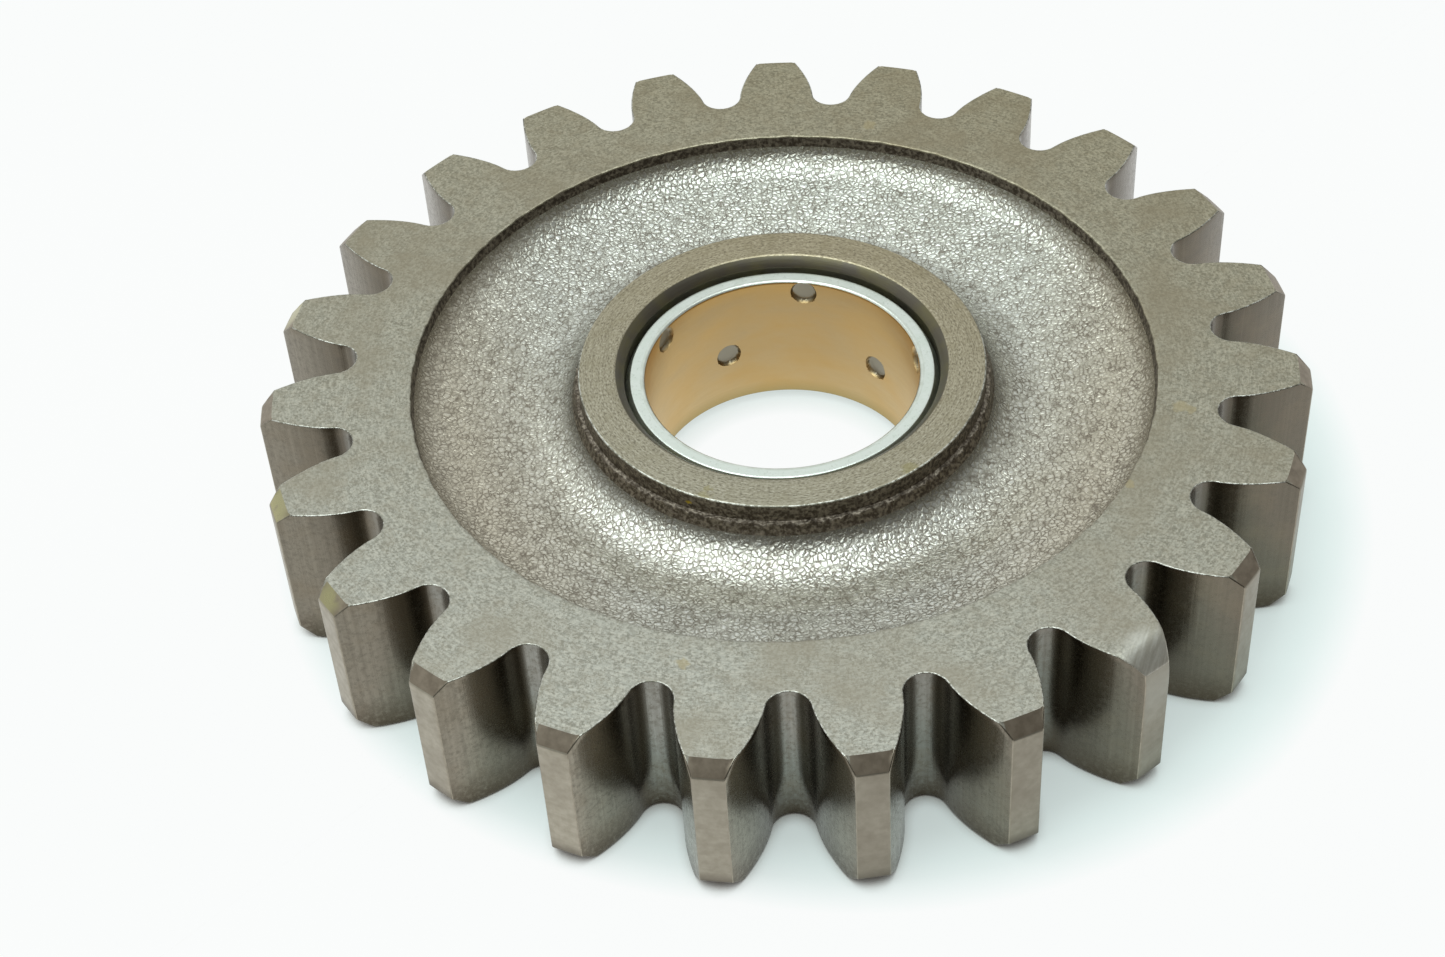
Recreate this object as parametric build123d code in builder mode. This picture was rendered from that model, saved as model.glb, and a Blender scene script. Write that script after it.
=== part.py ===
"""Spur drive gear with a steel-backed bronze bush pressed into its hub.

Millimetres, +Z up along the bore. The origin is on the bore axis, half way
through the face width, and the middle of one tooth stands on +Y.
"""
from build123d import *
import os
from math import acos, cos, degrees, hypot, pi, radians, sin, sqrt, tan

os.makedirs("parts", exist_ok=True)

# Tooth system: full-depth involute teeth, generated a little thick
module = 3.0
tooth_count = 23
pressure_angle = 20.0
profile_shift = 0.25
addendum_factor = 1.00
dedendum_factor = 1.30
tip_shortening = 0.25
tip_chamfer = 1.0
face_width = 12.5
cutter_overrun = 0.75

# Forged recess between rim and hub, the same on both faces
rim_inner_diameter = 54.0
rim_wall_draft = 10.0
rim_wall_height = 0.73
hub_wall_draft = 15.0
hub_wall_height = 0.35
corner_radius_rim = 1.6
corner_radius_hub = 2.0
sweep_radius_rim = 4.0
sweep_radius_hub = 4.5
corner_slope = 40.0
web_slope = 12.0

# Straight runs that stand for each round of the recess
hub_corner_run_count = 1
hub_sweep_run_count = 2
rim_sweep_run_count = 1
rim_corner_run_count = 1

# Hub: its ends and the top of its outside are turned after forging
hub_diameter = 29.6
hub_proud = 0.15
turned_depth = 1.25
turned_ledge = 0.32

# Bush, pressed in and left below both ends of the hub
bush_bore = 20.0
bush_wall = 1.5
bush_length = 11.2
bush_drop = 0.88
lead_in_width = 0.43
lead_in_height = 0.80
bore_edge_break = 0.15
lining_thickness = 0.35

# Hub mouth, as a lead for pressing the bush in
mouth_chamfer = 0.65

# How near an edge's radius must be to the one looked for
radius_match = 0.001

# Tooth sizes that follow from the values above
pitch_radius = module * tooth_count / 2
base_radius = pitch_radius * cos(radians(pressure_angle))
root_radius = pitch_radius + module * (profile_shift - dedendum_factor)
tip_radius = pitch_radius + module * (profile_shift + addendum_factor) - tip_shortening
tooth_thickness = module * (pi / 2 + 2 * profile_shift * tan(radians(pressure_angle)))
half_pitch = pi / tooth_count


def involute_angle(radius):
    """Angle, in radians, that an involute has turned when it reaches a radius."""
    pressure = acos(base_radius / radius)
    return tan(pressure) - pressure


# Half angle of a tooth, and of a space, where the flanks start on the base circle
half_tooth_base = tooth_thickness / (2 * pitch_radius) + involute_angle(pitch_radius)
half_space_base = half_pitch - half_tooth_base


def flank_point(radius):
    """Point on the flank above the middle line of a tooth space that lies along +X."""
    angle = half_space_base + involute_angle(radius)
    return (radius * cos(angle), radius * sin(angle))


# One round runs from flank to flank at the root. Its centre lies on the middle line of
# the space, one fillet radius above the root and one fillet radius from each flank.
# An involute moved sideways is the same involute turned, which gives that radius, and
# a few repeats settle it.
root_fillet = base_radius * half_space_base
for repeat in range(20):
    fillet_centre_radius = max(root_radius + root_fillet, base_radius)
    root_fillet = base_radius * (half_space_base + involute_angle(fillet_centre_radius))
roll_at_centre = sqrt(fillet_centre_radius**2 - base_radius**2)

# The space is cut past the tips, so that no skin is left there
space_outer_radius = tip_radius + cutter_overrun

# Each flank is two arcs through five points of the involute, true to it within 0.01 mm.
# The points are equal steps of roll apart, so they lie closer together near the root.
flank_steps = 4
first_roll = roll_at_centre - root_fillet
last_roll = sqrt(space_outer_radius**2 - base_radius**2)
left_flank = [
    flank_point(hypot(base_radius, first_roll + (last_roll - first_roll) * i / flank_steps))
    for i in range(flank_steps + 1)
]
right_flank = [(x, -y) for x, y in left_flank]

with BuildSketch() as tooth_space:
    with BuildLine():
        ThreePointArc(*left_flank[:3])
        ThreePointArc(*left_flank[2:])
        ThreePointArc(left_flank[0], (root_radius, 0), right_flank[0])
        ThreePointArc(*right_flank[:3])
        ThreePointArc(*right_flank[2:])
        ThreePointArc(right_flank[-1], (space_outer_radius, 0), left_flank[-1])
    make_face()

# Recess section, drawn from the hub outwards. Slopes are in degrees below the
# horizontal, going outwards from the axis.
rim_face = face_width / 2
hub_face = rim_face + hub_proud
hub_radius = hub_diameter / 2
rim_inner_radius = rim_inner_diameter / 2


def round_points(start, radius, slope_from, slope_to, runs):
    """Points on an arc of the section after its start, one at the end of each straight run."""
    points = []
    for i in range(1, runs + 1):
        slope = slope_from + (slope_to - slope_from) * i / runs
        across = radius * (sin(radians(slope_from)) - sin(radians(slope)))
        up = radius * (cos(radians(slope_from)) - cos(radians(slope)))
        points.append((start[0] + across, start[1] + up))
    return points


# Rounds next to the hub, from the foot of its wall to the start of the web
ledge_radius = hub_radius + turned_ledge
ledge_height = rim_face - turned_depth
hub_wall_foot = (
    ledge_radius + hub_wall_height * tan(radians(hub_wall_draft)),
    ledge_height - hub_wall_height,
)
hub_corner = round_points(
    hub_wall_foot, corner_radius_hub, 90 - hub_wall_draft, corner_slope, hub_corner_run_count
)
hub_sweep = round_points(
    hub_corner[-1], sweep_radius_hub, corner_slope, -web_slope, hub_sweep_run_count
)

# Rounds next to the rim, from the end of the web to the foot of the rim's wall. They are
# first drawn from (0, 0), to learn how far they reach.
rim_wall_foot = (
    rim_inner_radius - rim_wall_height * tan(radians(rim_wall_draft)),
    rim_face - rim_wall_height,
)
rim_sweep = round_points(
    (0, 0), sweep_radius_rim, -web_slope, -corner_slope, rim_sweep_run_count
)
rim_corner = round_points(
    rim_sweep[-1], corner_radius_rim, -corner_slope, rim_wall_draft - 90, rim_corner_run_count
)
rim_reach, rim_rise = rim_corner[-1]
web_end = (rim_wall_foot[0] - rim_reach, rim_wall_foot[1] - rim_rise)

with BuildSketch(Plane.XZ) as recess_section:
    with BuildLine():
        Polyline(
            (hub_radius, hub_face),
            (hub_radius, ledge_height),
            (ledge_radius, ledge_height),
            hub_wall_foot,
            *hub_corner,
            *hub_sweep,
            web_end,
            *[(web_end[0] + x, web_end[1] + z) for x, z in rim_sweep + rim_corner],
            (rim_inner_radius, rim_face),
            (rim_inner_radius, hub_face),
            close=True,
        )
    make_face()

# Gear: one forging, turned, bored and hobbed
bush_radius = bush_bore / 2 + bush_wall
with BuildPart() as gear_body:
    with BuildSketch(Plane.XY.offset(-rim_face)):
        Circle(tip_radius)
    extrude(amount=face_width)
    outer_edges = gear_body.edges().filter_by(GeomType.CIRCLE).filter_by(
        lambda edge: abs(edge.radius - tip_radius) < radius_match
    )
    chamfer(outer_edges, length=tip_chamfer)
    with BuildSketch(Plane.XY.offset(-hub_face)):
        Circle(hub_radius)
    extrude(amount=2 * hub_face)
    add(recess_section.sketch)
    revolve(axis=Axis.Z, mode=Mode.SUBTRACT)
    add(mirror(recess_section.sketch, about=Plane.XY, mode=Mode.PRIVATE))
    revolve(axis=Axis.Z, mode=Mode.SUBTRACT)
    with BuildSketch(Plane.XY.offset(-rim_face)):
        with PolarLocations(0, tooth_count, start_angle=90 + degrees(half_pitch)):
            add(tooth_space.sketch)
    extrude(amount=face_width, mode=Mode.SUBTRACT)
    Hole(bush_radius)
    mouth_edges = gear_body.edges().filter_by(GeomType.CIRCLE).filter_by(
        lambda edge: abs(edge.radius - bush_radius) < radius_match
    )
    chamfer(mouth_edges, length=mouth_chamfer)
gear_body.part.label = "gear_body"
export_step(gear_body.part, "parts/gear_body.step")

# Bush: a steel shell with a bronze lining bonded inside it
bush_top = hub_face - bush_drop
bush_bottom = bush_top - bush_length
lining_radius = bush_bore / 2 + lining_thickness

with BuildPart() as bush_shell:
    with BuildSketch(Plane.XY.offset(bush_bottom)):
        Circle(bush_radius)
        Circle(lining_radius, mode=Mode.SUBTRACT)
    extrude(amount=bush_length)
    shell_ends = bush_shell.faces().filter_by(Axis.Z).sort_by(Axis.Z)
    for end in (shell_ends[0], shell_ends[-1]):
        rim_edge = end.edges().sort_by(SortBy.RADIUS)[-1]
        chamfer(rim_edge, length=lead_in_width, length2=lead_in_height, reference=end)
bush_shell.part.label = "bush_shell"
export_step(bush_shell.part, "parts/bush_shell.step")

with BuildPart() as bush_lining:
    with BuildSketch(Plane.XY.offset(bush_bottom)):
        Circle(lining_radius)
        Circle(bush_bore / 2, mode=Mode.SUBTRACT)
    extrude(amount=bush_length)
    bore_edges = bush_lining.edges().filter_by(GeomType.CIRCLE).filter_by(
        lambda edge: abs(edge.radius - bush_bore / 2) < radius_match
    )
    chamfer(bore_edges, length=bore_edge_break)
bush_lining.part.label = "bush_lining"
export_step(bush_lining.part, "parts/bush_lining.step")
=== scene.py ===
"""Looks of a spur drive gear with a steel-backed bronze bush, built round its solids.

The pieces follow in the order in which the real gear is made and put together. Sizes are
in millimetres, and turned into metres only when a mesh is made.
"""

import bpy
import numpy as np
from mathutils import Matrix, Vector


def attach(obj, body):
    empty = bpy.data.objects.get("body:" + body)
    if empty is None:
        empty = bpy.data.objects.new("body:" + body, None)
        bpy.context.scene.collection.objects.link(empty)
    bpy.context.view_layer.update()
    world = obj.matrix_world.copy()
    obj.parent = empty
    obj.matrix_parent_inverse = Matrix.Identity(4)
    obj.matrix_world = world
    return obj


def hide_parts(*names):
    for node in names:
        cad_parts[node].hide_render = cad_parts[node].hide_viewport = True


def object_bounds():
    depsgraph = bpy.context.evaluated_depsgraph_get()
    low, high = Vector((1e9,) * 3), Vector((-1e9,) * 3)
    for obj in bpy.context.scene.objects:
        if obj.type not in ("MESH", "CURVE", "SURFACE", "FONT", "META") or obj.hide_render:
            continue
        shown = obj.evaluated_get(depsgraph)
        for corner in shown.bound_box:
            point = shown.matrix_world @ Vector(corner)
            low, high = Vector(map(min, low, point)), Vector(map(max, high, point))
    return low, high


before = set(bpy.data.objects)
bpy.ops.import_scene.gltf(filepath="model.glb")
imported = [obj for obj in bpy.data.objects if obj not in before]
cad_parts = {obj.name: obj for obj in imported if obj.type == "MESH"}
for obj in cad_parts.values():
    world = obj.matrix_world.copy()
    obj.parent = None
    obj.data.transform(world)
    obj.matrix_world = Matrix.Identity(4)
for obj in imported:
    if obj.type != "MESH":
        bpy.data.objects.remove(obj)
solid_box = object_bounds()

# The gear: one steel forging. Its rim faces are ground, its hub is turned and bored, and
# its 23 teeth are hobbed. The dished web between them keeps its shot-blasted skin. The
# whole of it is one closed surface, so that every edge has its own small round.

module = 3.0
tooth_count = 23
pressure_angle = np.radians(20)
profile_shift = 0.25
dedendum_factor = 1.30
tip_radius = 38.0
tip_chamfer = 1.0
rim_face = 6.25
hub_face = 6.4

# Tooth sizes that follow from the values above. Angles are in radians.
pitch_radius = module * tooth_count / 2
base_radius = pitch_radius * np.cos(pressure_angle)
root_radius = pitch_radius + module * (profile_shift - dedendum_factor)
tooth_thickness = module * (np.pi / 2 + 2 * profile_shift * np.tan(pressure_angle))
half_pitch = np.pi / tooth_count


def involute_angle(radius):
    """Angle that an involute has turned when it reaches a radius."""
    pressure = np.arccos(base_radius / radius)
    return np.tan(pressure) - pressure


half_tooth_at_base = tooth_thickness / (2 * pitch_radius) + involute_angle(pitch_radius)
half_space_at_base = half_pitch - half_tooth_at_base

# One round runs from flank to flank at the root. Its centre is one fillet radius from the
# root and from each flank, and a few repeats settle how large that makes it.
root_fillet = base_radius * half_space_at_base
for repeat in range(20):
    fillet_centre_radius = max(root_radius + root_fillet, base_radius)
    root_fillet = base_radius * (half_space_at_base + involute_angle(fillet_centre_radius))

# Steps of the tooth's outline on each side of its middle: root round, flank below the
# chamfer, flank beside it, corner of the tip, and land
root_steps, flank_steps, chamfer_steps, corner_steps, land_steps = 6, 10, 2, 2, 4
steps_per_tooth = 2 * (root_steps + flank_steps + chamfer_steps + corner_steps + land_steps)
tip_corner_radius = 0.16
columns = tooth_count * steps_per_tooth
coarse = 3


def half_tooth():
    """Outline from the middle of a space to the middle of a tooth that points along +X.

    A flank point at roll length L is (base radius - i L) turned by (start angle + L / base
    radius), as a complex number, and its outward direction is -i turned by the same angle.
    The root round and the tip corner are arcs about points on such a line. Returns the
    points and their outward directions.
    """

    def string_end(length, contact):
        """Point at a distance along the line that touches the base circle at a contact angle."""
        return (base_radius - 1j * length) * np.exp(1j * contact)

    centre_roll = np.sqrt((root_radius + root_fillet) ** 2 - base_radius**2)
    first_roll = centre_roll - root_fillet
    first_contact = -half_tooth_at_base + first_roll / base_radius
    root_centre = string_end(centre_roll, first_contact)
    middle = np.exp(-1j * half_pitch)
    turn = np.angle(1j * np.exp(1j * first_contact) / -middle)
    sweep = turn * np.arange(root_steps) / root_steps
    root_out = middle * np.exp(1j * sweep)
    root = root_centre - root_fillet * root_out

    inner = tip_radius - tip_corner_radius
    corner_roll = np.sqrt(inner**2 - base_radius**2) + tip_corner_radius
    crease_roll = np.sqrt((tip_radius - tip_chamfer) ** 2 - base_radius**2)
    rolls = np.concatenate([
        np.linspace(first_roll, crease_roll, flank_steps, endpoint=False),
        np.linspace(crease_roll, corner_roll, chamfer_steps, endpoint=False),
    ])
    contacts = -half_tooth_at_base + rolls / base_radius
    flank = string_end(rolls, contacts)
    flank_out = -1j * np.exp(1j * contacts)

    last_contact = -half_tooth_at_base + corner_roll / base_radius
    corner_centre = string_end(corner_roll - tip_corner_radius, last_contact)
    start = -1j * np.exp(1j * last_contact)
    turn = np.angle(corner_centre / start)
    corner_out = start * np.exp(1j * turn * np.arange(corner_steps) / corner_steps)
    corner = corner_centre + tip_corner_radius * corner_out

    land_angle = np.angle(corner_centre) * (1 - np.arange(land_steps + 1) / land_steps)
    land_out = np.exp(1j * land_angle)
    land = tip_radius * land_out
    return (
        np.concatenate([root, flank, corner, land]),
        np.concatenate([root_out, flank_out, corner_out, land_out]),
    )


def ring_of_teeth():
    """All teeth: half a tooth, its mirror image, and both turned to each tooth's place.

    The ring starts in the middle of the space before the tooth on +Y.
    """
    points, outward = half_tooth()
    points = np.concatenate([points, np.conj(points[-2:0:-1])])
    outward = np.concatenate([outward, np.conj(outward[-2:0:-1])])
    turns = np.exp(1j * (np.pi / 2 + 2 * half_pitch * np.arange(tooth_count)))
    return (turns[:, None] * points).ravel(), (turns[:, None] * outward).ravel()


def top_of_rim(plan):
    """Height of the rim's face: flat, then down at 45 degrees on the tip chamfer."""
    return rim_face - np.maximum(0, np.abs(plan) - (tip_radius - tip_chamfer))


# One tooth has had its upper corner worn to a smooth round: its face falls away along a
# curve towards the tip, more on one side, and the top of its land is drawn in. Both fade
# out down the wall.
worn_tooth = np.exp(1j * np.radians(-50.87))
worn_from = 36.0
worn_depth = 1.25
worn_curve = 1.6
worn_lean = 0.35
worn_in = 0.16
face_fade_end, land_fade_end, fade_height = 2.5, 3.3, 2.0


def worn_round(plan, height):
    """Plan and height of the upper side once the worn tooth's corner has been rounded."""
    on_tooth = np.abs(np.angle(plan / worn_tooth)) < half_pitch
    past = np.clip((np.abs(plan) - worn_from) / (tip_radius - worn_from), 0, 1)
    lean = 1 + worn_lean * np.angle(plan / worn_tooth) / half_pitch
    chamfer = np.maximum(0, np.abs(plan) - (tip_radius - tip_chamfer))
    drop = np.where(on_tooth, np.maximum(0, worn_depth * lean * past**worn_curve - chamfer), 0)
    drop = drop * np.clip((height - face_fade_end) / fade_height, 0, 1)
    land_share = np.clip((height - land_fade_end) / fade_height, 0, 1) ** 2
    drawn_in = on_tooth * worn_in * past**2 * land_share
    return plan * (1 - drawn_in / np.abs(plan)), height - drop


# Outer part of the gear: rows of the surface from the join on the lower face, out to the
# outline, up the flanks and lands, and in again to the join on the upper face
join_radius = 27.8
blend_radius = 31.0
edge_round = 0.09
least_row_gap = 0.03
outline, outward = ring_of_teeth()
uniform = np.angle(outline[0]) + 2 * np.pi * np.arange(columns) / columns
face_radii = np.array([
    join_radius, 29.0, 30.2, 31.4, 32.8, 34.2, 35.4, 36.0, 36.35, 36.65, 37.0, 37.45])
rows_left = len(face_radii) - np.arange(len(face_radii))
edge_turn = np.radians([0, 30, 60, 90])[:, None]
wall_drops = np.array([0.55, 0.9, 1.4, 2.1, 3.2])[:, None]


def half_rows():
    """Plan and height of the rows from the join to half way down the wall.

    Each column slides from even steps at the join to its own point of the outline at the
    edge. The edge itself is a small quarter round.
    """
    inset = outline - outward * edge_round
    face_radius = np.minimum(face_radii[:, None], np.abs(inset) - least_row_gap * rows_left[:, None])
    share = np.clip((face_radii - join_radius) / (blend_radius - join_radius), 0, 1)
    share = (share * share * (3 - 2 * share))[:, None]
    face_plan = face_radius * np.exp(1j * (uniform + np.angle(inset / np.exp(1j * uniform)) * share))
    edge_plan = outline - outward * edge_round * (1 - np.sin(edge_turn))
    edge_height = top_of_rim(edge_plan) - edge_round * (1 - np.cos(edge_turn))
    wall_plan = outline + 0j * wall_drops
    wall_height = top_of_rim(outline) - wall_drops
    return (np.concatenate([face_plan, edge_plan, wall_plan]),
            np.concatenate([top_of_rim(face_plan), edge_height, wall_height]))


lower_plan, lower_depth = half_rows()
upper_plan, upper_height = worn_round(*half_rows())
outer_plan = np.concatenate([lower_plan, outline[None, :], upper_plan[::-1]])
outer_height = np.concatenate([-lower_depth, 0 * outline.real[None, :], upper_height[::-1]])
face_rows = len(face_radii)


def arc(start, radius, slope_from, slope_to, steps):
    """Points on a round of the section after its start. Slopes are degrees below level."""
    slope = np.radians(slope_from + (slope_to - slope_from) * np.arange(1, steps + 1) / steps)
    first = np.radians(slope_from)
    across = radius * (np.sin(first) - np.sin(slope))
    up = radius * (np.cos(first) - np.cos(slope))
    return np.stack([start[0] + across, start[1] + up], axis=1)


# Inner part of the gear: one section, from the bore's middle up over the hub and along
# the recess to the rim. Each corner is rounded by a few points close to it.
bush_radius = 11.5
mouth_chamfer = 0.65
hub_radius = 14.8
ledge_radius = 15.12
ledge_height = 5.0
rim_inner_radius = 27.0
hub_wall_draft = 15
hub_wall_height = 0.35
rim_wall_draft = 10
rim_wall_height = 0.73
hub_corner_radius, hub_sweep_radius = 2.0, 4.5
rim_corner_radius, rim_sweep_radius = 1.6, 4.0
corner_slope = 40
web_slope = 12
hub_wall_foot = (
    ledge_radius + hub_wall_height * np.tan(np.radians(hub_wall_draft)),
    ledge_height - hub_wall_height)
rim_wall_foot = (
    rim_inner_radius - rim_wall_height * np.tan(np.radians(rim_wall_draft)),
    rim_face - rim_wall_height)
hub_corner = arc(hub_wall_foot, hub_corner_radius, 90 - hub_wall_draft, corner_slope, 7)
hub_sweep = arc(hub_corner[-1], hub_sweep_radius, corner_slope, -web_slope, 10)
rim_corner = arc(rim_wall_foot, rim_corner_radius, rim_wall_draft - 90, -corner_slope, 7)
rim_sweep = arc(rim_corner[-1], rim_sweep_radius, -corner_slope, -web_slope, 5)
web_length = np.linspace(0, 1, 7)[1:-1, None]
web = hub_sweep[-1] + (rim_sweep[-1] - hub_sweep[-1]) * web_length


def beside(radius, height, steps):
    """Points of the section given as steps out and up from one of its corners."""
    return np.array([radius, height]) + steps


bore_wall = [(bush_radius, 0), (bush_radius, 3.0)]
mouth_foot = beside(bush_radius, hub_face - mouth_chamfer, [(0, -0.15), (0, -0.05), (0.03, 0.03)])
mouth_top = beside(bush_radius + mouth_chamfer, hub_face, [(-0.06, -0.06), (0.02, -0.01), (0.11, 0)])
hub_end = [(12.9, hub_face), (13.5, hub_face), (14.1, hub_face)]
hub_edge = beside(hub_radius, hub_face, [(-0.2, 0), (-0.1, 0), (-0.03, -0.03), (0, -0.1), (0, -0.2)])
hub_outside = [(hub_radius, 5.8), (hub_radius, 5.4)]
ledge_foot = beside(hub_radius, ledge_height, [(0, 0.1), (0.02, 0.03), (0.08, 0)])
ledge_edge = beside(
    ledge_radius, ledge_height, [(-0.10, 0), (-0.03, -0.025), (0.005, -0.08), (0.05, -0.2)])
rim_edge = beside(rim_inner_radius, rim_face, [
    (-0.08, -0.45), (-0.035, -0.20), (-0.022, -0.13), (0.01, -0.04), (0.09, -0.003), (0.2, 0), (0.5, 0)])
section = np.concatenate([
    bore_wall, mouth_foot, mouth_top, hub_end, hub_edge, hub_outside, ledge_foot, ledge_edge,
    [hub_wall_foot], hub_corner, hub_sweep, web,
    rim_sweep[::-1], rim_corner[-2::-1], [rim_wall_foot], rim_edge,
])
section = np.concatenate([section[:0:-1], section * [1, -1]])
inner_angle = uniform[::coarse]
inner_radius = np.repeat(section[:, :1], len(inner_angle), axis=1)
inner_height = np.repeat(section[:, 1:], len(inner_angle), axis=1)

# The forged skin is never quite true: slow waves a few hundredths of a millimetre high,
# which fade out at the turned hub and the ground rim
wave_height = 0.012
past_ledge = np.clip((inner_radius - 15.1) / 1.0, 0, 1)
forged = past_ledge * np.clip((rim_inner_radius - inner_radius) / 0.6, 0, 1)
side = np.sign(inner_height)
plan_x = inner_radius * np.cos(inner_angle)
plan_y = inner_radius * np.sin(inner_angle)
waves = (
    np.sin(1.1 * plan_x + 0.7 * plan_y + 2.0 * side)
    + np.sin(-0.8 * plan_x + 1.3 * plan_y + 1.3)
    + 0.7 * np.sin(2.3 * plan_x - 1.9 * plan_y + 0.4 + side)
    + 0.7 * np.sin(1.7 * plan_x + 2.6 * plan_y + 2.2)
)
inner_height = inner_height + side * forged * wave_height * waves

# The turning tool has torn the edge of the small ledge that it left round the hub. The
# rim's inner edge is chipped in the same way, and the forged recess isn't quite round.
tear_size, chip_size, wall_wave = 0.05, 0.018, 0.010
torn = np.exp(-(((inner_radius - 15.05) / 0.16) ** 2 + ((np.abs(inner_height) - 4.93) / 0.2) ** 2))
tears = (
    np.sin(43 * inner_angle + 2 * side) + np.sin(71 * inner_angle + 1.0)
    + np.sin(109 * inner_angle + 3 * side) + np.sin(157 * inner_angle + 0.5)
)
inner_radius = inner_radius + tear_size * torn * tears
inner_height = inner_height - side * tear_size * torn * np.roll(tears, 5, axis=1)
chipped = np.exp(-(((inner_radius - 26.99) / 0.07) ** 2)) * (np.abs(inner_height) > 5.9)
inner_radius = inner_radius - chip_size * chipped * np.roll(tears, 9, axis=1)
inner_radius = inner_radius + forged * wall_wave * np.sin(7 * inner_angle + 3 * side + inner_height)


def grid_faces(rows, across, first=0):
    """Quads of a grid that closes round its axis, given as rows of vertex numbers."""
    j, i = np.meshgrid(np.arange(rows - 1), np.arange(across), indexing="ij")
    k = (i + 1) % across
    return first + np.stack([j * across + i, j * across + k, (j + 1) * across + k,
                             (j + 1) * across + i], axis=-1).reshape(-1, 4)


def corner_values(grid):
    """Values of a grid at its quads' corners. The grid has one column more than the mesh."""
    return np.stack([grid[:-1, :-1], grid[:-1, 1:], grid[1:, 1:], grid[1:, :-1]], axis=-1)


crease_angle = 42


def make_piece(name, points_mm, faces, face_finish, finishes, corner_uv=None):
    """A mesh piece in metres from points in millimetres, kept inside the solids' own box.

    Edges that turn by more than the crease angle stay sharp, and flat faces are shaded flat.
    """
    lowest, highest = np.array(solid_box[0]), np.array(solid_box[1])
    points = np.clip(points_mm * 0.001, lowest, highest)
    mesh = bpy.data.meshes.new(name)
    mesh.from_pydata(points.tolist(), [], faces)
    for finish in finishes:
        mesh.materials.append(finish)
    mesh.polygons.foreach_set("material_index", np.asarray(face_finish, np.int32))
    mesh.polygons.foreach_set("use_smooth", np.ones(len(mesh.polygons), bool))
    if corner_uv is not None:
        layer = mesh.uv_layers.new(name="Surface")
        layer.uv.foreach_set("vector", np.asarray(corner_uv, np.float32).ravel())
    mesh.update()
    mesh.set_sharp_from_angle(angle=np.radians(crease_angle))
    piece = bpy.data.objects.new(name, mesh)
    bpy.context.scene.collection.objects.link(piece)
    even = piece.modifiers.new("even_light", "WEIGHTED_NORMAL")
    even.keep_sharp = True
    return piece


# Finishes of the gear. Each reads the piece's own coordinates, in millimetres, or its
# surface map, which runs along the tooth outline and up the flank on the walls, and along
# the circumference and the radius on the flat faces.


def add_node(tree, kind, inputs=(), **settings):
    """A node with its settings made, and its inputs set to values or joined to outputs."""
    made = tree.nodes.new(kind)
    for name, value in settings.items():
        setattr(made, name, value)
    for name, value in dict(inputs).items():
        if isinstance(value, bpy.types.NodeSocket):
            tree.links.new(value, made.inputs[name])
        else:
            made.inputs[name].default_value = value
    return made


def start_finish(name, roughness, metallic=1.0):
    """A new material with its shader, and its own coordinates and surface map in millimetres."""
    finish = bpy.data.materials.new(name)
    finish.use_nodes = True
    tree = finish.node_tree
    shader = tree.nodes["Principled BSDF"]
    shader.inputs["Metallic"].default_value = metallic
    shader.inputs["Roughness"].default_value = roughness
    source = add_node(tree, "ShaderNodeTexCoord")
    place = add_node(tree, "ShaderNodeMapping", {
        "Vector": source.outputs["Object"], "Scale": (1000, 1000, 1000)})
    return finish, tree, shader, place.outputs["Vector"], source.outputs["UV"]


def stretched(tree, vector, scale):
    """The same place with each direction scaled, for patterns that run one way."""
    return add_node(tree, "ShaderNodeMapping", {"Vector": vector, "Scale": scale}).outputs["Vector"]


def grain(tree, vector, scale, detail=2.0, roughness=0.5):
    """Fractal noise from 0 to 1 at so many waves a millimetre."""
    made = add_node(tree, "ShaderNodeTexNoise", {
        "Vector": vector, "Scale": scale, "Detail": detail, "Roughness": roughness})
    return made.outputs["Fac"]


def ramp(tree, value, low, high, to_low=0.0, to_high=1.0, way="LINEAR"):
    """A value carried from one range to another and held at its ends."""
    made = add_node(tree, "ShaderNodeMapRange", {
        "Value": value, "From Min": low, "From Max": high, "To Min": to_low, "To Max": to_high},
        interpolation_type=way)
    return made.outputs["Result"]


def mixed(tree, share, first, second, way="MIX"):
    """Two colours mixed by a share from 0 to 1."""
    made = add_node(tree, "ShaderNodeMix", {0: share, 6: first, 7: second},
                    data_type="RGBA", blend_type=way)
    return made.outputs[2]


def colour(red, green, blue):
    """A colour as the shader takes it, from linear red, green and blue."""
    return (red, green, blue, 1.0)


def sums(tree, kind, first, second):
    """One sum on two values: ADD, MULTIPLY, SUBTRACT, MAXIMUM or MINIMUM."""
    return add_node(tree, "ShaderNodeMath", {0: first, 1: second}, operation=kind).outputs[0]


def from_axis(tree, place):
    """Distance from the gear's axis in millimetres."""
    flat = stretched(tree, place, (1, 1, 0))
    return add_node(tree, "ShaderNodeVectorMath", {0: flat}, operation="LENGTH").outputs["Value"]


def toward(tree, place, direction):
    """Distance in millimetres from the gear's middle along a direction."""
    made = add_node(tree, "ShaderNodeVectorMath", {0: place, 1: direction}, operation="DOT_PRODUCT")
    return made.outputs["Value"]


def raised(tree, shader, height, distance_mm, after=None):
    """Relief on a shader: a height from 0 to 1 that stands for so many millimetres."""
    inputs = {"Height": height, "Distance": distance_mm * 0.001, "Strength": 1.0}
    if after is not None:
        inputs["Normal"] = after
    made = add_node(tree, "ShaderNodeBump", inputs)
    tree.links.new(made.outputs["Normal"], shader.inputs["Normal"])
    return made.outputs["Normal"]


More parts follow.
